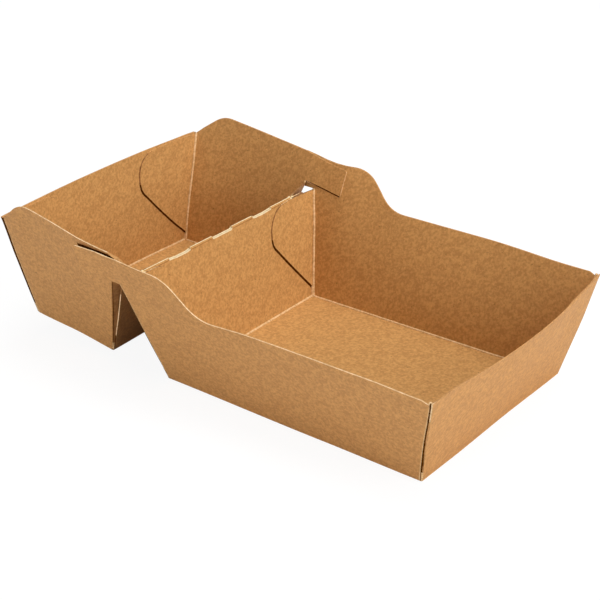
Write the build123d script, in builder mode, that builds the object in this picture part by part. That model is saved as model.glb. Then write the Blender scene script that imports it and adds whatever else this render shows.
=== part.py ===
"""Fries and sauce tray, folded and glued from one blank of kraft board.

Two open compartments, each with its own floor, hang on a hollow ridge between them. The
fries compartment stands flat. The sauce compartment is held up by the ridge and leans back.
Each compartment has its own frame, with x from the ridge fold along the floor to the end fold.
"""
import os
from math import asin, atan2, cos, degrees, radians, sin, sqrt, tan

from build123d import *

os.makedirs("parts", exist_ok=True)

# Board
board = 0.5                 # thickness of the sheet
glue_gap = 0.1              # air between a corner fold and the panel outside it
glue_sink = 0.15            # how far a glued layer presses into the panel behind it
corner_bead = 0.54          # radius of a corner fold, a little proud of the board

# Floors, between their fold lines
floor_width = 86.0
fries_floor = 111.5
sauce_floor = 39.8

# Ridge, and how the sauce compartment hangs on it
foot_gap = 29.4             # from the fries floor's fold to the sauce floor's fold
sauce_lift = 4.0            # underside of the sauce floor at that fold
sauce_tilt = 6.3            # degrees
ridge_offset = 10.8         # ridge line, beyond the fries floor's fold
ridge_height = 41.3         # top of the ridge
ridge_end_gap = 3.6         # from the ridge's ends to the side walls
ridge_cut = 11.6            # length of one cut through the crease
ridge_bridge = 12.3         # length of crease left between two cuts
ridge_end_part = 8.0        # least length at each end over which the two walls part
ridge_end_drop = 1.4        # their top edges fall by this much there
slit_width = 0.3            # of a cut
slit_depth = 0.6            # below the ridge line
ridge_bead = 0.66           # radius of the crease, proud of the cut stretches

# Side walls
fries_side_lean = 17.2      # degrees, outward
sauce_side_lean = 15.2
rim_height = 39.5           # low rim of the fries compartment
rim_corner_drop = 1.2       # the rim dips where it turns into a corner fold
rim_corner_reach = 3.0
crest_height = 53.3         # where the fries wall steps up towards the ridge
crest_rise = 2.0            # gained from there to the end of its tab
step_foot = 27.3            # the step's lower corner, from the fries floor's fold
step_head = 15.0            # its upper corner
step_foot_radius = 14.0
step_head_radius = 13.0
sauce_corner = 43.1         # height of the sauce wall at the end corner
sauce_peak = 54.5           # height of its peak
sauce_peak_reach = 11.6     # along the floor, from the corner to the peak
sauce_peak_radius = 10.0
sauce_tab_top = 51.6        # height of the wall at the end of its tab

# Tabs that overlap across the ridge
sauce_tab_reach = 29.8      # beyond the sauce floor's fold, inside the fries wall
sauce_tab_foot = 40.3
sauce_tab_contact = 21.0    # where it meets the fries wall, beyond the sauce floor's fold
fries_tab_reach = 25.5      # beyond the fries floor's fold, outside the sauce wall
fries_tab_foot = 40.8
tab_radius = 1.0
notch_half = 2.3            # half the gap between the two corner folds at the ridge

# End walls
fries_end_lean = 13.4
fries_end_bow = 5.0         # how far the top edge bows outward
sauce_end_lean = 9.8
sauce_end_bow = 4.0

# Glue flaps
flap_start = 3.0            # where a flap leaves its fold
flap_tuck = 0.2             # how far a flap runs past the line of its fold
flap_top_radius = 13.0
flap_turn_radius = 5.0      # where the top round runs into the slanted lower edge
end_flap_reach = 23.9       # inward from the floor's corner
end_flap_drop = 0.7         # below the top of the end wall
ridge_flap_reach = 17.0
ridge_flap_drop = 0.6       # below the ridge
flap_corner_drop = 0.4      # below the top of the corner fold

far = 150.0                 # reaches past every face of the tray
half_floor = floor_width / 2
fold_inset = board + glue_gap    # from a panel's food face to the corner fold before it
ridge_line = Vector(-ridge_offset, 0, ridge_height - ridge_bead)

fries_frame = Plane.XY
sauce_frame = Plane(
    origin=(-foot_gap, 0, sauce_lift),
    x_dir=(-cos(radians(sauce_tilt)), 0, sin(radians(sauce_tilt))),
    z_dir=(sin(radians(sauce_tilt)), 0, cos(radians(sauce_tilt))),
)
fries_slope = tan(radians(fries_side_lean))
sauce_slope = tan(radians(sauce_side_lean))


def elevation(frame, y=0):
    """A frame's side view at y: x along the floor, y up."""
    return Plane(frame.from_local_coords(Vector(0, y, 0)), frame.x_dir, frame.y_dir * -1)


def end_view(frame):
    """A frame's end view: x across the tray, y up."""
    return Plane(frame.origin, frame.y_dir, frame.x_dir)


def slanted(slope):
    """The board's thickness measured level, in a wall that leans by this slope."""
    return board * sqrt(1 + slope**2)


def fold_foot(slope):
    """Height at which a leaning wall's outer face meets the round of its bottom fold."""
    return board - board * slope / sqrt(1 + slope**2)


def ruled(sections):
    """A sheet with straight rules between its flat sections."""
    with BuildPart() as sheet:
        for plane, points in sections:
            with BuildSketch(plane):
                Polygon(*points)
        loft(ruled=True)
    return sheet.part


def trimmed(sheet, outline):
    """The part of a sheet that lies within the outline's prism."""
    with BuildPart() as panel:
        add(sheet)
        add(outline, mode=Mode.INTERSECT)
    return panel.part


def crease(start, end, radius=board):
    """The round of a fold, about its inner line."""
    with BuildPart() as bend:
        with BuildSketch(Plane(origin=start, z_dir=end - start)):
            Circle(radius)
        extrude(amount=(end - start).length)
    return bend.part


def both_sides(piece):
    """A piece and its mirror image on the other side of the tray."""
    return [piece, piece.mirror(Plane.XZ)]


# Side walls: half the tray's width at their inner faces
def half_width(slope, z):
    return half_floor + slope * (z - board)


def nested_half_width(x, z):
    """The sauce wall's tab, pressed against the inside of the fries wall."""
    point = sauce_frame.from_local_coords(Vector(x, 0, z))
    return half_width(fries_slope, point.Z) - slanted(fries_slope) + glue_sink


def side_section(frame, x, half_widths, slope):
    """A side wall cut across at x, from below the floor to above the peak."""
    low, high = -far / 10, far
    inner = [(half_widths(low), low), (half_widths(high), high)]
    outer = [(y + slanted(slope), z) for y, z in reversed(inner)]
    return end_view(frame).offset(x), inner + outer


def fries_side_sheet():
    def flat(z):
        return half_width(fries_slope, z)
    return ruled([side_section(fries_frame, x, flat, fries_slope) for x in (-far, far)])


def sauce_half_width(x, z):
    """Flat beyond the sauce floor's end, then drawn outward bit by bit up to the fries wall."""
    flat = half_width(sauce_slope, z)
    share = (sauce_floor - x) / (sauce_floor + sauce_tab_contact)
    return flat + min(max(share, 0), 1) * (nested_half_width(x, z) - flat)


def sauce_side_sheet():
    stations = (far, sauce_floor, -sauce_tab_contact, -far)
    return ruled([
        side_section(sauce_frame, x, lambda z, x=x: sauce_half_width(x, z), sauce_slope)
        for x in stations
    ])


def rounded_corner(sketch, point, radius):
    fillet(sketch.vertices().sort_by_distance(point)[0], radius)


# The ridge runs between the fries walls, with as many cuts as its length takes
ridge_half_length = half_width(fries_slope, ridge_height) - ridge_end_gap
ridge_pitch = ridge_cut + ridge_bridge
ridge_cuts = int((2 * (ridge_half_length - ridge_end_part) - ridge_bridge) // ridge_pitch)
ridge_held_half = (ridge_cuts * ridge_pitch + ridge_bridge) / 2


# Corner folds, each as its lower and upper end in its compartment's frame
def end_fold(frame_floor, lean, slope, top):
    run = tan(radians(lean)) * (top - board)
    return (
        Vector(frame_floor - fold_inset, half_floor, board),
        Vector(frame_floor + run - fold_inset, half_floor + slope * (top - board), top),
    )


def fries_ridge_fold():
    return (
        Vector(fold_inset, half_floor, board),
        Vector(notch_half - ridge_offset, half_width(fries_slope, fries_tab_foot), fries_tab_foot),
    )


def sauce_ridge_fold():
    tilt = radians(sauce_tilt)
    across = foot_gap - ridge_offset - notch_half
    top_x = (sauce_tab_foot * sin(tilt) - across) / cos(tilt)
    return (
        Vector(fold_inset, half_floor, board),
        Vector(top_x, sauce_half_width(top_x, sauce_tab_foot), sauce_tab_foot),
    )


fries_end_fold = end_fold(fries_floor, fries_end_lean, fries_slope, rim_height)
sauce_end_fold = end_fold(sauce_floor, sauce_end_lean, sauce_slope, sauce_corner)


def fries_side_wall():
    """Low rim, step up to the crest, and the tab that reaches over the sauce wall."""
    ridge_foot, ridge_top = fries_ridge_fold()
    end_foot, end_top = fries_end_fold
    foot = fold_foot(fries_slope)
    step_low = (step_foot, rim_height)
    step_high = (step_head, crest_height)
    tab_top = (-fries_tab_reach, crest_height + crest_rise)
    tab_foot = (-fries_tab_reach, fries_tab_foot)
    with BuildPart() as outline:
        with BuildSketch(elevation(fries_frame)) as sketch:
            Polygon(
                (ridge_foot.X, foot),
                (end_foot.X, foot),
                (end_top.X, rim_height - rim_corner_drop),
                (end_top.X - rim_corner_reach, rim_height),
                step_low,
                step_high,
                tab_top,
                tab_foot,
                (ridge_top.X, fries_tab_foot),
            )
            rounded_corner(sketch, step_low, step_foot_radius)
            rounded_corner(sketch, step_high, step_head_radius)
            rounded_corner(sketch, tab_top, tab_radius)
            rounded_corner(sketch, tab_foot, tab_radius)
        extrude(amount=far, both=True)
    return trimmed(fries_side_sheet(), outline.part)


def sauce_side_wall():
    """Corner, peak and long top edge, ending in the tab inside the fries wall."""
    ridge_foot, ridge_top = sauce_ridge_fold()
    end_foot, end_top = sauce_end_fold
    foot = fold_foot(sauce_slope)
    peak = (end_top.X - sauce_peak_reach, sauce_peak)
    tab_top = (-sauce_tab_reach, sauce_tab_top)
    tab_foot = (-sauce_tab_reach, sauce_tab_foot)
    with BuildPart() as outline:
        with BuildSketch(elevation(sauce_frame)) as sketch:
            Polygon(
                (ridge_foot.X, foot),
                (end_foot.X, foot),
                (end_top.X, sauce_corner),
                peak,
                tab_top,
                tab_foot,
                (ridge_top.X, sauce_tab_foot),
            )
            rounded_corner(sketch, peak, sauce_peak_radius)
            rounded_corner(sketch, tab_top, tab_radius)
            rounded_corner(sketch, tab_foot, tab_radius)
        extrude(amount=far, both=True)
    return trimmed(sauce_side_sheet(), outline.part)


# The ridge's two walls stand on the floors' folds and meet at the ridge line
def ridge_wall_angle(frame):
    """How far a ridge wall leans from upright in its own frame."""
    rise = frame.to_local_coords(ridge_line) - Vector(0, 0, board)
    return atan2(-rise.X, rise.Z) - asin(board / rise.length)


def ridge_wall(frame):
    """Level where the creases hold it, lower towards its free ends, with the cuts' slit along its top."""
    angle = ridge_wall_angle(frame)
    rise = frame.to_local_coords(ridge_line) - Vector(0, 0, board)
    height = sqrt(rise.length**2 - board**2)
    foot = frame.from_local_coords(Vector(0, 0, board))
    up = frame.from_local_coords(Vector(-sin(angle), 0, board + cos(angle))) - foot
    food_face = Plane(foot, frame.y_dir, frame.y_dir.cross(up))
    half_foot = half_floor - glue_gap
    end_height = height - ridge_end_drop
    with BuildPart() as wall:
        with BuildSketch(food_face):
            Polygon(
                (-half_foot, 0),
                (half_foot, 0),
                (ridge_half_length, end_height),
                (ridge_held_half, height),
                (-ridge_held_half, height),
                (-ridge_half_length, end_height),
            )
        extrude(amount=-board)
        with Locations(ridge_line):
            Box(slit_width, 2 * far, 2 * slit_depth, mode=Mode.SUBTRACT)
    return wall.part


def ridge_creases():
    """The stretches of crease that hold the two walls together between the cuts."""
    creases = []
    for i in range(ridge_cuts + 1):
        middle = (i - ridge_cuts / 2) * ridge_pitch
        ends = [ridge_line + Vector(0, middle + way * ridge_bridge / 2, 0) for way in (-1, 1)]
        creases.append(crease(*ends, ridge_bead))
    return creases


def flap_outline(frame, fold, reach, top):
    """A prism for a flap: large top round, smaller turn, slanted lower edge, and the corner fold."""
    foot, head = fold

    def at_fold(z):
        y = foot.Y + (head.Y - foot.Y) * (z - foot.Z) / (head.Z - foot.Z)
        return Vector(y + flap_tuck, z)

    edge = half_floor - reach
    start = at_fold(flap_start)
    to_turn = Vector(edge + flap_turn_radius, top - flap_top_radius) - start
    slant = atan2(-to_turn.X, to_turn.Y) + asin(flap_turn_radius / to_turn.length)
    with BuildPart() as outline:
        with BuildSketch(end_view(frame)):
            with BuildLine():
                round_start = (edge + flap_top_radius, top)
                top_round = JernArc(round_start, (-1, 0), flap_top_radius, 90)
                turn = JernArc(top_round @ 1, (0, -1), flap_turn_radius, degrees(slant))
                Polyline(turn @ 1, start, at_fold(head.Z - flap_corner_drop), round_start)
            make_face()
        extrude(amount=far, both=True)
    return outline.part


def ridge_flap(frame, fold):
    """Lies on a ridge wall, and stands off it a little next to the corner fold."""
    foot, head = fold
    lean = tan(ridge_wall_angle(frame))
    heights = (0, far / 2)

    def glued(z):
        face = -lean * (z - board)
        return face - glue_sink, face + fold_inset

    def standing(z):
        food_side = foot.X + (head.X - foot.X) * (z - foot.Z) / (head.Z - foot.Z)
        return food_side - board, food_side

    def section(y, span):
        (a, b), (c, d) = span(heights[0]), span(heights[1])
        return elevation(frame, y), [(a, heights[0]), (b, heights[0]), (d, heights[1]), (c, heights[1])]

    sheet = ruled([section(0, glued), section(half_floor, glued), section(head.Y + board, standing)])
    top = frame.to_local_coords(ridge_line).Z + ridge_bead - ridge_flap_drop
    return trimmed(sheet, flap_outline(frame, fold, ridge_flap_reach, top))


def end_sheet(frame, floor, lean, bow, top, slope, start, depth):
    """A sheet along an end wall: straight at the floor's fold, bowed at the top."""
    x = floor + start
    top_x = x + tan(radians(lean)) * (top - board)
    top_half = half_floor + slope * (top - board) + slanted(slope)
    with BuildPart() as sheet:
        with BuildSketch(frame.offset(board)):
            with Locations((x + depth / 2, 0)):
                Rectangle(depth, floor_width)
        with BuildSketch(frame.offset(top)):
            with BuildLine():
                inner = ThreePointArc((top_x, -top_half), (top_x + bow, 0), (top_x, top_half))
                outer_x = top_x + depth
                outer = ThreePointArc((outer_x, top_half), (outer_x + bow, 0), (outer_x, -top_half))
                Line(inner @ 1, outer @ 0)
                Line(outer @ 1, inner @ 0)
            make_face()
        loft(ruled=True)
    return sheet.part


def end_wall(frame, floor, lean, bow, top, slope, fold):
    """The end wall with its two glued corner flaps."""
    wall = end_sheet(frame, floor, lean, bow, top, slope, 0, board)
    lining = end_sheet(frame, floor, lean, bow, top, slope, -fold_inset, fold_inset + glue_sink)
    outline = flap_outline(frame, fold, end_flap_reach, top - end_flap_drop)
    return [wall] + both_sides(trimmed(lining, outline))


def floor_panel(frame, floor):
    """A floor, with the round folds along its four edges."""
    with BuildPart() as panel:
        with BuildSketch(frame):
            with Locations((floor / 2, 0)):
                Rectangle(floor, floor_width)
        extrude(amount=board)
    corners = [(0, -half_floor), (floor, -half_floor), (floor, half_floor), (0, half_floor)]
    points = [frame.from_local_coords(Vector(x, y, board)) for x, y in corners]
    return [panel.part] + [crease(points[i - 1], points[i]) for i in range(len(points))]


def corner_creases(frame, folds):
    pieces = []
    for fold in folds:
        foot, head = [frame.from_local_coords(point) for point in fold]
        pieces += both_sides(crease(foot, head, corner_bead))
    return pieces


pieces = []
pieces += floor_panel(fries_frame, fries_floor)
pieces += floor_panel(sauce_frame, sauce_floor)
pieces += [ridge_wall(fries_frame), ridge_wall(sauce_frame)]
pieces += ridge_creases()
pieces += end_wall(
    fries_frame, fries_floor, fries_end_lean, fries_end_bow, rim_height, fries_slope, fries_end_fold
)
pieces += end_wall(
    sauce_frame, sauce_floor, sauce_end_lean, sauce_end_bow, sauce_corner, sauce_slope, sauce_end_fold
)
pieces += both_sides(fries_side_wall())
pieces += both_sides(sauce_side_wall())
pieces += both_sides(ridge_flap(fries_frame, fries_ridge_fold()))
pieces += both_sides(ridge_flap(sauce_frame, sauce_ridge_fold()))
pieces += corner_creases(fries_frame, [fries_ridge_fold(), fries_end_fold])
pieces += corner_creases(sauce_frame, [sauce_ridge_fold(), sauce_end_fold])

with BuildPart() as tray:
    for piece in pieces:
        add(piece)

# The origin goes under the middle of the tray's box
box = tray.part.bounding_box()
tray.part.move(Location((-box.center().X, -box.center().Y, -box.min.Z)))
tray.part.label = "tray"
export_step(tray.part, "parts/tray.step")
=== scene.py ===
"""The looks of a fries and sauce tray: one blank of kraft board, cut, creased, folded and glued."""
from math import pi, radians, sin

import bmesh
import bpy
from mathutils import Matrix, Vector, noise


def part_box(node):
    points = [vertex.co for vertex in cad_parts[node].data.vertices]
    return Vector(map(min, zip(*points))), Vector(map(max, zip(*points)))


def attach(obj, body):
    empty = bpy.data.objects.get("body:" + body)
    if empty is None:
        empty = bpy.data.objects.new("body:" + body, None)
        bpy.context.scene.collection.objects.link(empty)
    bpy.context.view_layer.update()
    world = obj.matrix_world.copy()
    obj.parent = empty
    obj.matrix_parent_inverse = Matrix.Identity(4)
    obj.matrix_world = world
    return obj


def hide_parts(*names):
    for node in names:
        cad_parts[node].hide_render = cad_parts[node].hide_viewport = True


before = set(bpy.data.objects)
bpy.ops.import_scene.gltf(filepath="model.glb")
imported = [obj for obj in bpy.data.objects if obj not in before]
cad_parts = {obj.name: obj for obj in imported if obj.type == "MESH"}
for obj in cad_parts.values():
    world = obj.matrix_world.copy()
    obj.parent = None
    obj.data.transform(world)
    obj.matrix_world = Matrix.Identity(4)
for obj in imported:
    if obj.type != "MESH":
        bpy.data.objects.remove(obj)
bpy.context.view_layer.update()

mm = 0.001

# Camera, fitted to the photograph's corners and folds
camera_place = Vector((295.8, -371.2, 261.0)) * mm
camera_azimuth = 38.33
camera_elevation = 26.60
camera_roll = -1.10
camera_lens = 84.96

# Finishes, as places in the tray's list of materials
outside, food_side, cut_edge, crease, shaded_flap_edge, painted_shade, ridge_pale_edge_and_highlight, painted_shade_under_ridge = range(8)

# Board colours, each as its light and dark pulp
outside_pulp = (0.660, 0.340, 0.117), (0.510, 0.248, 0.082)
# Painted shade: the outside board darkened where it lies in the tunnel under the ridge
painted_shade_under_ridge_pulp = (0.460, 0.222, 0.074), (0.345, 0.156, 0.047)
food_side_pulp = (0.672, 0.360, 0.119), (0.508, 0.254, 0.077)
cut_edge_pulp = (0.96, 0.71, 0.43), (0.76, 0.50, 0.25)
crease_pulp = (0.92, 0.64, 0.35), (0.70, 0.44, 0.20)
# Painted shade: the flaps' cut edges, mid-dark where other cut edges are pale
shaded_flap_edge_pulp = (0.42, 0.22, 0.085), (0.24, 0.11, 0.04)
# Painted shade: near-black pulp for the gaps beside corner folds, the tab's shadow on the sauce wall,
# and the flaps' bared lower edges
painted_shade_pulp = (0.130, 0.048, 0.008), (0.060, 0.019, 0.003)
# Pale cream of the ridge's cut edges, also used as a painted highlight along the top of the creased
# stretches
ridge_pale_edge_and_highlight_pulp = (1.0, 0.86, 0.56), (0.94, 0.74, 0.44)

# Folds on one side of the tray, each as its two ends in millimetres
fries_end_fold = Vector((85.8, 43.0, 0.5)), Vector((95.0, 55.1, 39.5))
fries_ridge_fold = Vector((-24.5, 43.0, 0.5)), Vector((-33.6, 55.5, 40.8))
sauce_end_fold = Vector((-93.5, 43.0, 8.8)), Vector((-96.1, 54.6, 52.0))
sauce_ridge_fold = Vector((-55.1, 43.0, 4.6)), Vector((-38.2, 55.4, 42.8))
corner_folds = (fries_end_fold, fries_ridge_fold, sauce_end_fold, sauce_ridge_fold)
floor_folds = (
    (Vector((-25.1, 43.0, 0.5)), Vector((86.4, 43.0, 0.5))),
    (Vector((-25.1, 0.0, 0.5)), Vector((-25.1, 43.0, 0.5))),
    (Vector((86.4, 0.0, 0.5)), Vector((86.4, 43.0, 0.5))),
    (Vector((-54.5, 43.0, 4.5)), Vector((-94.0, 43.0, 8.9))),
    (Vector((-54.5, 0.0, 4.5)), Vector((-54.5, 43.0, 4.5))),
    (Vector((-94.0, 0.0, 8.9)), Vector((-94.0, 43.0, 8.9))),
)
fold_radius = 0.68 * mm

# Beside each corner fold: the way to the gap, and how far the gap's painted shade reaches over the next
# edge
fold_gaps = ((fries_end_fold, 1, 0.0), (fries_ridge_fold, -1, 1.5), (sauce_end_fold, -1, 1.5),
             (sauce_ridge_fold, 1, 1.5))
seam_start = 0.08 * mm
seam_side = -0.05 * mm
seam_opening = 0.75 * mm
seam_opening_start = -0.9 * mm
seam_opening_reach = 14 * mm
seam_opening_fade = 12 * mm, 1 * mm

# Cells that the surface is cut into, along, across and upward
cells = (40, 24, 10)
along_x, along_y, along_z = Vector((1, 0, 0)), Vector((0, 1, 0)), Vector((0, 0, 1))

# A flat stretch over this area is a panel, and a smaller one is an edge or a crease
panel_area = 110 * mm * mm
# Turns between faces: within a flat stretch, round a crease, and what counts for an open edge
panel_turn = radians(8)
round_turn = radians(50)
open_edge_turn = radians(360)

# Ridge, with stretches that are cut and stretches that a crease holds
ridge_place = Vector((-35.94, 0.0, 40.64)) * mm
ridge_radius = 0.8 * mm
ridge_held_half = 42.0 * mm
ridge_pitch = 23.9 * mm
ridge_cut = 11.6 * mm
cut_end = 0.05 * mm
cut_lip = 0.1 * mm
cut_sink = 0.4 * mm
# Span and foot of the painted shade on the outside faces in the tunnel under the ridge
under_ridge_span = -54.3 * mm, -25.3 * mm
under_ridge_foot = 2 * mm

# Glue flaps: where their cut edges lie, and how far the front of each is drawn back
flap_foot = 5 * mm
flap_side = 42 * mm
flap_side_slope = 0.2
flap_head_side = 3 * mm
flap_head_levels = 30 * mm, 36 * mm
flap_ridge_gap = 0.9 * mm
ridge_flap_reach = 12 * mm
flap_shade = 0.75 * mm
flap_least_depth = 0.2 * mm

# Beads at the feet of the corner folds, each with its offset into the gap in millimetres
foot_bead = 0.6 * mm
foot_bead_length = 4.6 * mm
foot_beads = ((fries_end_fold, Vector((0.45, -0.2, 0))), (fries_ridge_fold, Vector((-0.5, -0.2, 0))),
              (sauce_end_fold, Vector((-0.45, -0.1, 0))), (sauce_ridge_fold, Vector((0.4, -0.2, 0))))

# The fries wall's tab, outside the sauce wall, and its painted shadow on that wall
tab_start = -26 * mm
near_tab_end = -51.9 * mm
far_tab_end = -49.6 * mm
tab_side = 56.66 * mm
tab_side_level = 45.0 * mm
tab_side_slope = 0.31
tab_shade_top = Vector((-50.6, 0.0, 54.7)) * mm
tab_top_slope = Vector((0.063, 0.0, 1.0))
tab_shade = 2.2 * mm

# The sauce wall's tab, inside the fries wall
inner_tab_span = -33 * mm, -10 * mm
inner_tab_levels = 34 * mm, 48 * mm
inner_tab_side = 48 * mm

# Rims that show no paler edge: at both ends, along the far wall, and where a tab hides one
end_rim_start = 84 * mm
end_rim_half = 53.5 * mm
far_rim_side = 50 * mm
far_rim_level = 37 * mm
hidden_rim_span = -36 * mm, -24 * mm
hidden_rim_level = 48 * mm

# Where folding by hand leaves the board off true: place, reach and shift in millimetres
nudges = (
    ((-94, -43, 9), (35, 35, 45), (-0.95, 0.0, -0.8)),
    ((-25, -43, 0), (70, 30, 25), (-1.0, 0.0, 0.8)),
    ((86, -43, 0), (40, 25, 30), (-0.4, -0.5, 0.0)),
    ((86, 43, 0), (25, 40, 42), (0.8, 2.3, 0.0)),
    ((-96, 55, 52), (18, 60, 30), (0.0, 0.0, 1.5)),
    ((-96, -20, 52), (14, 50, 24), (0.0, 0.0, -0.45)),
    ((-54, -43, 4), (22, 25, 25), (0.3, 0.0, -1.0)),
    ((92, 50, 24), (15, 20, 20), (0.6, 0.0, 0.0)),
    ((-88, -57, 61), (14, 12, 16), (0.0, 0.0, -0.9)),
    ((-97, -55, 52), (8, 14, 18), (1.0, 0.0, 0.4)),
    ((-28, 58, 55), (14, 12, 16), (0.0, 0.0, -1.1)),
    ((94, -55, 39), (22, 14, 24), (0.9, 0.0, -0.9)),
    ((94, 30, 41), (10, 24, 16), (0.0, 0.0, 1.0)),
    ((89, 57, 39), (12, 8, 14), (0.0, 0.0, 0.2)),
    ((4, -57, 41), (20, 12, 18), (0.0, -0.3, -0.6)),
    ((-36, 0, 41), (22, 120, 34), (0.0, 0.7, 0.95)),
    ((-36, 54, 42), (14, 18, 22), (-0.6, -0.4, 0.3)),
    ((-38, -56, 41), (14, 12, 26), (0.0, 0.0, 1.6)),
    ((-30, -58, 53), (9, 12, 10), (0.0, 0.0, 1.0)),
    ((-94, 46, 20), (16, 28, 34), (0.0, -1.9, -0.3)),
    ((-95, 17, 38), (10, 14, 20), (0.0, 2.0, -0.5)),
)
# The same for the near crest and its tab only
crest_blend = -34 * mm, -22 * mm
crest_nudges = (
    ((-26, -58, 55), (26, 12, 20), (0.0, -0.6, -0.7)),
    ((-32, -58, 53), (9, 12, 10), (0.0, 0.0, -0.7)),
)

# Shape of the bowed side walls: each bow's greatest depth at the rim, and where along the tray it lies
wall_foot = 2 * mm
rim_height = 39.5 * mm
wall_start = 38 * mm
wall_side = 43 * mm
wall_slope = 0.3
bow_growth = 1.3
fries_bow = 0.77536 * mm
fries_bow_span = -30 * mm, 93 * mm
fries_bow_rise = 1.6
fries_bow_fall = 2.6
sauce_bow = 1.8 * mm
sauce_bow_span = -98 * mm, -20 * mm
far_bow = 2.7 * mm
far_bow_start = -22 * mm, -2 * mm
far_bow_end = 93 * mm, 46 * mm
near_sauce_draw = 2.0 * mm
near_draw_start = -30 * mm, -68 * mm
near_draw_end = -92 * mm, -78 * mm
# A ripple over the whole board, the same in each run
ripple = 0.45 * mm
ripple_wave = 55 * mm
ripple_seed = 2

# Patterns in the board: stretch along its own axes, turn in degrees, scale, detail and roughness
clouds_pattern = (1, 1, 1), (0, 0, 0), 330, 4, 0.6
grain_pattern = (1, 1, 1), (0, 0, 0), 1100, 3, 0.6
fibres_across_pattern = (1, 3.2, 1), (40, 0, 0), 950, 2, 0.5
fibres_along_pattern = (2.4, 1, 1), (0, -28, 15), 1000, 2, 0.5
specks_pattern = (1.3, 1, 1), (0, 0, 30), 1100, 1, 0.5
clouds_share, fibres_share, grain_share = 0.18, 0.22, 0.38
shine_per_fleck = 0.5
relief_height = 0.10 * mm

# Studio: each light's name, place, width and power, and how bright all else is
lights = (
    ("high_end_light", (0.9, 0.0, 0.8), 0.7, 5.8),
    ("low_end_light", (1.1, -0.1, 0.25), 0.5, 3.6),
    ("side_light", (-0.1, -1.2, 0.18), 0.5, 5.6),
    ("top_light", (0.1, 0.26, 1.17), 0.8, 8.5),
    ("back_light", (-0.8, 0.9, 0.35), 0.6, 2.5),
)
lit_place = Vector((0, 0, 0.03))
surroundings_light = 0.06
floor_half = 3.0
floor_white = 0.85
floor_glow = 1.08
floor_glow_share = 0.85


# Mesh
def merged_copy(node):
    """The node's mesh as one welded surface."""
    sheet = bmesh.new()
    sheet.from_mesh(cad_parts[node].data)
    bmesh.ops.remove_doubles(sheet, verts=sheet.verts, dist=0.01 * mm)
    return sheet


def cut_into_cells(sheet, low, high):
    """Cut the surface into cells small enough to bend, and along the lines where a finish changes."""
    for across, count in zip((along_x, along_y, along_z), cells):
        for i in range(1, count):
            slice_sheet(sheet, low + (high - low) * (i / count), across)
    slice_sheet(sheet, ridge_place - along_z * cut_lip, along_z)
    for i in (-1, 0, 1):
        for way in (-1, 1):
            slice_sheet(sheet, along_y * (i * ridge_pitch + way * ridge_cut / 2), along_y)
    for end in (near_tab_end, far_tab_end):
        slice_sheet(sheet, along_x * end, along_x)
    slice_sheet(sheet, tab_shade_top, tab_top_slope)
    slice_sheet(sheet, tab_shade_top - along_z * tab_shade, tab_top_slope)


def slice_sheet(sheet, place, across):
    geom = sheet.verts[:] + sheet.edges[:] + sheet.faces[:]
    bmesh.ops.bisect_plane(sheet, geom=geom, dist=0.001 * mm, plane_co=place, plane_no=across)


def flat_regions(sheet):
    """Faces grouped where they run on nearly flat, and each group's area."""
    region = {}
    areas = []
    for start in sheet.faces:
        if start in region:
            continue
        number = len(areas)
        region[start] = number
        area = 0.0
        waiting = [start]
        while waiting:
            face = waiting.pop()
            area += face.calc_area()
            for edge in face.edges:
                if edge.calc_face_angle(open_edge_turn) > panel_turn:
                    continue
                for other in edge.link_faces:
                    if other not in region:
                        region[other] = number
                        waiting.append(other)
        areas.append(area)
    return region, areas


def share(value, start, end):
    """How far a value lies along the way from start to end, from 0 to 1."""
    return min(max((value - start) / (end - start), 0.0), 1.0)


def smooth_share(value, start, end):
    """The same, setting off and arriving gently."""
    part = share(value, start, end)
    return part * part * (3 - 2 * part)


def within(value, span):
    return span[0] < value < span[1]


def from_fold(fold, point):
    """From the nearest place on a fold, or on its twin on the other side of the tray, to a point."""
    foot, head = (end * mm for end in fold)
    near = Vector((point.x, abs(point.y), point.z))
    along = head - foot
    part = (near - foot).dot(along) / along.length_squared
    return near - (foot + along * min(max(part, 0.0), 1.0))


def from_ridge(point):
    """From the ridge's line, straight across it, to a point."""
    return Vector((point.x, 0, point.z)) - ridge_place


def on_fold(middle):
    nearest = min(from_fold(fold, middle).length for fold in corner_folds + floor_folds)
    return nearest < fold_radius


def in_seam(middle, normal):
    """True in the gap between a corner fold and the edge of the panel outside it, which gets a painted
    shade.
    """
    if normal.y * middle.y < 0:
        return False
    for fold, way, reach in fold_gaps:
        away = from_fold(fold, middle)
        towards_gap = away.x * way
        if away.length < fold_radius and towards_gap > seam_start and away.y > seam_side:
            return True
        if away.length < reach * mm and towards_gap > 0 and abs(normal.y) > 0.8:
            return True
    return False


def on_flap(middle, normal):
    """True on the cut edge of a glued flap, inside the tray and under its rims."""
    side = flap_side + flap_side_slope * middle.z + flap_head_side * share(middle.z, *flap_head_levels)
    inside = flap_foot < middle.z and abs(middle.y) < side
    at_ridge = from_ridge(middle).length < flap_ridge_gap
    on_rim = normal.z > 0.95 and abs(middle.x - ridge_place.x) > ridge_flap_reach
    return inside and not at_ridge and not on_rim and abs(normal.x) < 0.6


def under_inner_tab(middle, normal):
    """True on the lower edge of the sauce wall's tab, which lies inside the fries wall."""
    beside_ridge = within(middle.x, inner_tab_span) and within(middle.z, inner_tab_levels)
    return beside_ridge and abs(middle.y) > inner_tab_side and normal.z < -0.5


def on_tab(point):
    """True on the fries wall's tab, which lies outside the sauce wall."""
    return abs(point.y) > tab_side + tab_side_slope * (point.z - tab_side_level)


def behind_tab(middle, normal):
    """True on the outside of the sauce wall where the tab's shadow is painted on it."""
    outward = normal.y * middle.y > 0 and abs(normal.y) > 0.6
    below = (tab_shade_top - middle).dot(tab_top_slope)
    end = near_tab_end if middle.y < 0 else far_tab_end
    return outward and 0 < below < tab_shade and end < middle.x < tab_start and not on_tab(middle)


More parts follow.
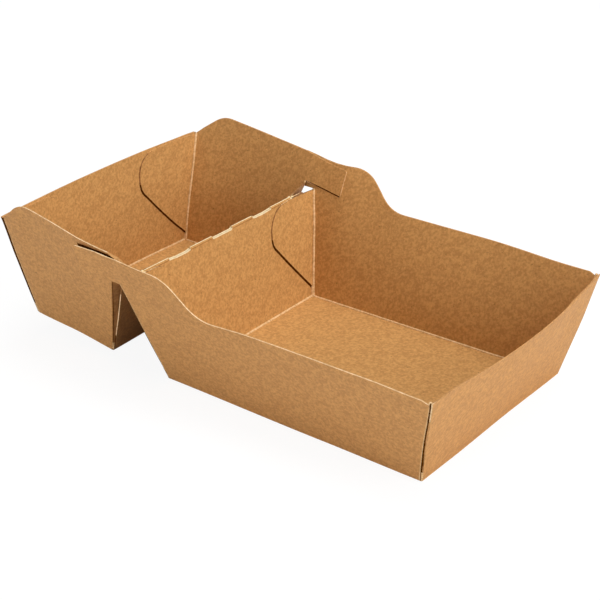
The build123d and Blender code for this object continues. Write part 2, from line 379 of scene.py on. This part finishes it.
def along_ridge(middle):
    """How the ridge is made here: held by a crease, cut, or not the ridge's top at all."""
    if from_ridge(middle).length > ridge_radius or abs(middle.y) > ridge_held_half + ridge_cut:
        return None
    if abs(middle.y) > ridge_held_half:
        return "cut"
    from_cut = abs((abs(middle.y) + ridge_pitch / 2) % ridge_pitch - ridge_pitch / 2)
    return "cut" if from_cut < ridge_cut / 2 - cut_end else "held"


def on_plain_rim(middle, normal):
    """True on a rim whose cut edge shows no paler than the panel below it."""
    at_end = abs(middle.x) > end_rim_start and abs(middle.y) < end_rim_half
    at_far_side = middle.y > far_rim_side and middle.z > far_rim_level and normal.z > 0.5
    hidden = within(middle.x, hidden_rim_span) and middle.z > hidden_rim_level and not on_tab(middle)
    return at_end or at_far_side or hidden


def cut_or_crease(middle, normal):
    """The finish of a narrow face, by where it lies."""
    # Gaps beside the corner folds get a painted shade
    if in_seam(middle, normal):
        return painted_shade
    made = along_ridge(middle)
    # Cut stretches show their pale cut edge; the up-facing top of a creased stretch gets the same colour
    # as a painted highlight
    if made == "cut" or (made == "held" and normal.z > 0.93):
        return ridge_pale_edge_and_highlight
    if made == "held":
        return ridge_pale_edge_and_highlight if abs(normal.y) > 0.6 else panel_finish(middle, normal)
    if on_fold(middle):
        return crease
    # Flap edges get a mid-dark painted shade
    if on_flap(middle, normal):
        return shaded_flap_edge
    return outside if on_plain_rim(middle, normal) else cut_edge


def faces_food(middle, normal):
    """True on the inside of either compartment."""
    if abs(normal.z) > 0.9:
        return normal.z > 0
    if abs(normal.y) > 0.8:
        return middle.y * normal.y < 0
    return normal.z > 0


def panel_finish(middle, normal):
    """The finish of a wall or floor, by where it lies and the way it faces."""
    if faces_food(middle, normal):
        return food_side
    # A painted shadow of the tab on the sauce wall
    if behind_tab(middle, normal):
        return painted_shade
    # Outside faces in the tunnel under the ridge get a painted shade
    if abs(normal.y) < 0.6 and within(middle.x, under_ridge_span) and middle.z > under_ridge_foot:
        return painted_shade_under_ridge
    return outside


def sort_faces(sheet):
    """Give each face its finish, unless it has its own, and each edge its sharpness."""
    region, areas = flat_regions(sheet)
    for face in sheet.faces:
        face.smooth = True
        # Faces already given a painted shade by the undercut keep it
        if face.material_index in (painted_shade, shaded_flap_edge):
            continue
        middle = face.calc_center_median()
        is_panel = areas[region[face]] > panel_area and along_ridge(middle) != "cut"
        finish = panel_finish if is_panel else cut_or_crease
        face.material_index = finish(middle, face.normal)
    for edge in sheet.edges:
        if len(edge.link_faces) != 2:
            continue
        one, two = edge.link_faces
        same = region[one] == region[two]
        both_round = min(one.material_index, two.material_index) >= cut_edge
        edge.smooth = same or (both_round and edge.calc_face_angle(open_edge_turn) < round_turn)


def undercut_flaps(sheet):
    """The flaps' lower edges stand off the wall, so the front of each is drawn back, and the bared edge
    gets a painted shade.
    """
    region, areas = flat_regions(sheet)
    shifts = {}
    for face in sheet.faces:
        middle = face.calc_center_median()
        if areas[region[face]] > panel_area or on_fold(middle) or in_seam(middle, face.normal):
            continue
        if not on_flap(middle, face.normal) and not under_inner_tab(middle, face.normal):
            continue
        # Painted shade on the bared edge: near-black where it faces down, mid-dark elsewhere
        face.material_index = painted_shade if face.normal.z < 0.1 else shaded_flap_edge
        around = [other for edge in face.edges for other in edge.link_faces]
        panels = [other for other in around if areas[region[other]] > panel_area]
        fronts = [other.normal for other in panels if faces_food(middle, other.normal)]
        if not fronts:
            continue
        inward = sum(fronts, Vector()).normalized()
        depths = [vert.co.dot(inward) for vert in face.verts]
        halfway = (min(depths) + max(depths)) / 2
        amount = flap_shade * share(-face.normal.z, -0.5, 0.6)
        back = (inward * face.normal.dot(inward) - face.normal).normalized()
        for vert, depth in zip(face.verts, depths):
            if depth > halfway and max(depths) - min(depths) > flap_least_depth:
                shifts.setdefault(vert, []).append(back * amount)
    for vert, moves in shifts.items():
        vert.co += sum(moves, Vector()) / len(moves)


def close_corner_feet(sheet):
    """A bead of folded board at the foot of each corner, below its flap."""
    for fold, offset in foot_beads:
        foot, head = (end * mm for end in fold)
        along = (head - foot).normalized() * foot_bead_length
        middle = foot + offset * mm + along / 2
        for way in (-1, 1):
            turn = Vector((along.x, way * along.y, along.z)).to_track_quat("Z", "Y")
            place = Matrix.Translation((middle.x, way * middle.y, middle.z)) @ turn.to_matrix().to_4x4()
            made = bmesh.ops.create_cone(sheet, segments=10, radius1=foot_bead, radius2=foot_bead,
                                         depth=foot_bead_length, matrix=place)
            for face in {face for vert in made["verts"] for face in vert.link_faces}:
                face.material_index = crease
                face.smooth = True


def open_sauce_seams(sheet):
    """The sauce end's own edges stand a little off the corner folds."""
    for vert in sheet.verts:
        away = from_fold(sauce_end_fold, vert.co)
        if away.x < seam_opening_start and away.length < seam_opening_reach:
            vert.co.x -= seam_opening * smooth_share(abs(away.y), *seam_opening_fade)


def sink_ridge_cuts(sheet):
    """The cut stretches of the ridge lie a little below the creased ones."""
    for vert in sheet.verts:
        if along_ridge(vert.co) == "cut" and abs(vert.co.y) < ridge_held_half - 2 * cut_end:
            vert.co.z -= cut_sink


def nudged(point, pulls):
    """How far handling has moved this place on the board."""
    total = Vector()
    for place, reach, shift in pulls:
        weight = 1.0
        for axis in range(3):
            weight *= smooth_share(abs(point[axis] / mm - place[axis]), reach[axis], 0.0)
        total += Vector(shift) * weight
    return total * mm


def bow_depth(point):
    """How far the side wall at this place along the tray bows outward at its rim."""
    along = share(point.x, *fries_bow_span)
    deepest = fries_bow_rise / (fries_bow_rise + fries_bow_fall)
    depth = fries_bow * (along / deepest) ** fries_bow_rise
    depth *= ((1 - along) / (1 - deepest)) ** fries_bow_fall
    depth += sauce_bow * sin(pi * share(point.x, *sauce_bow_span))
    if point.y > 0:
        depth += far_bow * smooth_share(point.x, *far_bow_start) * smooth_share(point.x, *far_bow_end)
    elif not on_tab(point):
        draw = smooth_share(point.x, *near_draw_start) * smooth_share(point.x, *near_draw_end)
        depth -= near_sauce_draw * draw
    return depth


def bend_walls(sheet):
    """The long walls bow outward between their corners, and the board ripples a little."""
    noise.seed_set(ripple_seed)
    for vert in sheet.verts:
        x, y, z = vert.co
        height = share(z, wall_foot, rim_height)
        side = share(abs(y), wall_start, wall_side + wall_slope * z) * (1 if y > 0 else -1)
        shift = along_y * (side * bow_depth(vert.co) * height**bow_growth) + nudged(vert.co, nudges)
        crest_part = 1.0 if on_tab(vert.co) else smooth_share(x, *crest_blend)
        shift += nudged(vert.co, crest_nudges) * crest_part
        wave = noise.noise_vector(vert.co / ripple_wave) * ripple
        vert.co += shift + wave * height


def make_tray():
    sheet = merged_copy("tray")
    undercut_flaps(sheet)
    cut_into_cells(sheet, *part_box("tray"))
    sort_faces(sheet)
    close_corner_feet(sheet)
    open_sauce_seams(sheet)
    sink_ridge_cuts(sheet)
    bend_walls(sheet)
    mesh = bpy.data.meshes.new("kraft_tray")
    sheet.to_mesh(mesh)
    sheet.free()
    tray = bpy.data.objects.new("kraft_tray", mesh)
    bpy.context.scene.collection.objects.link(tray)
    for material in board_finishes():
        mesh.materials.append(material)
    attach(tray, "root")
    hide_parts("tray")


# Materials
def new_node(tree, kind, **settings):
    """A node in the tree, with its settings."""
    node = tree.nodes.new(kind)
    for name, value in settings.items():
        setattr(node, name, value)
    return node


def drawn_noise(tree, coordinates, stretch, turn, scale, detail, roughness):
    """Noise drawn out by stretch along its own axes and turned, returned as a value socket."""
    mapping = new_node(tree, "ShaderNodeMapping", vector_type="TEXTURE")
    mapping.inputs["Rotation"].default_value = [radians(angle) for angle in turn]
    mapping.inputs["Scale"].default_value = stretch
    pattern = new_node(tree, "ShaderNodeTexNoise")
    pattern.inputs["Scale"].default_value = scale
    pattern.inputs["Detail"].default_value = detail
    pattern.inputs["Roughness"].default_value = roughness
    tree.links.new(coordinates, mapping.inputs["Vector"])
    tree.links.new(mapping.outputs["Vector"], pattern.inputs["Vector"])
    return pattern.outputs["Fac"]


def ramp(tree, value, low, high, out_low=0.0, out_high=1.0):
    """A value stretched so that low to high becomes out_low to out_high."""
    spread = new_node(tree, "ShaderNodeMapRange")
    spread.inputs["From Min"].default_value = low
    spread.inputs["From Max"].default_value = high
    spread.inputs["To Min"].default_value = out_low
    spread.inputs["To Max"].default_value = out_high
    tree.links.new(value, spread.inputs["Value"])
    return spread.outputs["Result"]


def combine(tree, operation, one, two):
    """Two values, each a number or a socket, put together by a sum or the like."""
    step = new_node(tree, "ShaderNodeMath", operation=operation)
    for socket, value in zip(step.inputs, (one, two)):
        if isinstance(value, float):
            socket.default_value = value
        else:
            tree.links.new(value, socket)
    return step.outputs["Value"]


def blend_colours(tree, amount, one, two):
    """From one colour to the other by amount, each of them a colour or a socket."""
    mix = new_node(tree, "ShaderNodeMix", data_type="RGBA")
    tree.links.new(amount, mix.inputs["Factor"])
    first_colour, second_colour, blended = mix.inputs[6], mix.inputs[7], mix.outputs[2]
    for socket, colour in zip((first_colour, second_colour), (one, two)):
        if isinstance(colour, tuple):
            socket.default_value = (*colour, 1.0)
        else:
            tree.links.new(colour, socket)
    return blended


def kraft(name, pulp_colours, fleck_strength, relief, roughness):
    """Kraft board: fine grain, cloudy pulp, drawn-out fibres both ways, and a few dark specks."""
    light, dark = pulp_colours
    material = bpy.data.materials.new(name)
    material.use_nodes = True
    tree = material.node_tree
    shader = tree.nodes["Principled BSDF"]
    place = new_node(tree, "ShaderNodeTexCoord").outputs["Object"]

    clouds = drawn_noise(tree, place, *clouds_pattern)
    grain = drawn_noise(tree, place, *grain_pattern)
    fibres_across = drawn_noise(tree, place, *fibres_across_pattern)
    fibres_along = drawn_noise(tree, place, *fibres_along_pattern)
    specks = drawn_noise(tree, place, *specks_pattern)

    fibres = combine(tree, "ADD", fibres_along, fibres_across)
    cloudy = combine(tree, "MULTIPLY", clouds, clouds_share)
    fibrous = combine(tree, "ADD", cloudy, combine(tree, "MULTIPLY", fibres, fibres_share))
    pulp = combine(tree, "ADD", fibrous, combine(tree, "MULTIPLY", grain, grain_share))
    colour = blend_colours(tree, ramp(tree, pulp, 0.435, 0.565), dark, light)
    dark_specks = combine(tree, "MULTIPLY", ramp(tree, specks, 0.72, 0.78), fleck_strength)
    colour = blend_colours(tree, dark_specks, colour, tuple(0.45 * c for c in dark))
    pale_specks = combine(tree, "MULTIPLY", ramp(tree, specks, 0.29, 0.24), 0.6 * fleck_strength)
    colour = blend_colours(tree, pale_specks, colour, tuple(min(1.35 * c, 1.0) for c in light))
    tree.links.new(colour, shader.inputs["Base Color"])

    tree.links.new(ramp(tree, fibres, 0.7, 1.3, roughness, roughness + 0.14), shader.inputs["Roughness"])
    shader.inputs["Specular IOR Level"].default_value = shine_per_fleck * fleck_strength
    bump = new_node(tree, "ShaderNodeBump")
    bump.inputs["Strength"].default_value = relief
    bump.inputs["Distance"].default_value = relief_height
    tree.links.new(pulp, bump.inputs["Height"])
    tree.links.new(bump.outputs["Normal"], shader.inputs["Normal"])
    return material


def board_finishes():
    """In the order of the finishes' places: pulp, strength of the flecks, relief and roughness."""
    return [
        kraft("board_outside", outside_pulp, 0.6, 0.6, 0.62),
        kraft("board_food_side", food_side_pulp, 0.6, 0.6, 0.66),
        kraft("board_cut_edge", cut_edge_pulp, 0.2, 0.8, 0.8),
        kraft("board_crease", crease_pulp, 0.3, 0.9, 0.75),
        kraft("board_shaded_flap_edge", shaded_flap_edge_pulp, 0.2, 0.8, 0.8),
        kraft("board_painted_shade", painted_shade_pulp, 0.0, 0.5, 0.9),
        kraft("board_ridge_pale_edge_and_highlight", ridge_pale_edge_and_highlight_pulp, 0.1, 0.8, 0.8),
        kraft("board_painted_shade_under_ridge", painted_shade_under_ridge_pulp, 0.6, 0.6, 0.62),
    ]


# Studio
def add_floor():
    """A white surface on which the camera sees a faint shadow of the tray."""
    plate = bmesh.new()
    bmesh.ops.create_grid(plate, x_segments=1, y_segments=1, size=floor_half)
    mesh = bpy.data.meshes.new("studio_floor")
    plate.to_mesh(mesh)
    plate.free()
    floor = bpy.data.objects.new("studio_floor", mesh)
    bpy.context.scene.collection.objects.link(floor)
    material = bpy.data.materials.new("studio_white")
    material.use_nodes = True
    tree = material.node_tree
    tree.nodes.remove(tree.nodes["Principled BSDF"])
    lit = new_node(tree, "ShaderNodeBsdfDiffuse")
    lit.inputs["Color"].default_value = (floor_white, floor_white, floor_white, 1.0)
    glow = new_node(tree, "ShaderNodeEmission")
    glow.inputs["Strength"].default_value = floor_glow
    seen = new_node(tree, "ShaderNodeLightPath").outputs["Is Camera Ray"]
    mix = new_node(tree, "ShaderNodeMixShader")
    tree.links.new(combine(tree, "MULTIPLY", seen, floor_glow_share), mix.inputs["Fac"])
    tree.links.new(lit.outputs["BSDF"], mix.inputs[1])
    tree.links.new(glow.outputs["Emission"], mix.inputs[2])
    tree.links.new(mix.outputs["Shader"], tree.nodes["Material Output"].inputs["Surface"])
    mesh.materials.append(material)


def add_soft_light(name, place, width, power):
    """A square light that faces the tray's middle."""
    lamp = bpy.data.lights.new(name, "AREA")
    lamp.size = width
    lamp.energy = power
    light = bpy.data.objects.new(name, lamp)
    light.location = place
    light.rotation_euler = (lit_place - light.location).to_track_quat("-Z", "Y").to_euler()
    bpy.context.scene.collection.objects.link(light)


def add_surroundings():
    """An even, dim light from all round, seen as white."""
    world = bpy.data.worlds.new("studio")
    bpy.context.scene.world = world
    world.use_nodes = True
    tree = world.node_tree
    background = tree.nodes["Background"]
    background.inputs["Color"].default_value = (1, 1, 1, 1)
    path = new_node(tree, "ShaderNodeLightPath")
    seen = combine(tree, "MAXIMUM", path.outputs["Is Camera Ray"], path.outputs["Is Glossy Ray"])
    tree.links.new(ramp(tree, seen, 0.0, 1.0, surroundings_light, 1.0), background.inputs["Strength"])


def add_camera():
    """The photograph's own view of the tray."""
    camera = bpy.data.objects.new("camera", bpy.data.cameras.new("camera"))
    turn = Matrix.Rotation(radians(camera_azimuth), 4, "Z")
    tip = Matrix.Rotation(radians(90 - camera_elevation), 4, "X")
    roll = Matrix.Rotation(radians(camera_roll), 4, "Z")
    camera.matrix_world = Matrix.Translation(camera_place) @ turn @ tip @ roll
    camera.data.lens = camera_lens
    camera.data.sensor_width = 36
    camera.data.clip_start = 0.01
    bpy.context.scene.collection.objects.link(camera)
    bpy.context.scene.camera = camera


make_tray()
add_floor()
for light in lights:
    add_soft_light(*light)
add_surroundings()
add_camera()
bpy.context.scene.view_settings.view_transform = "Standard"
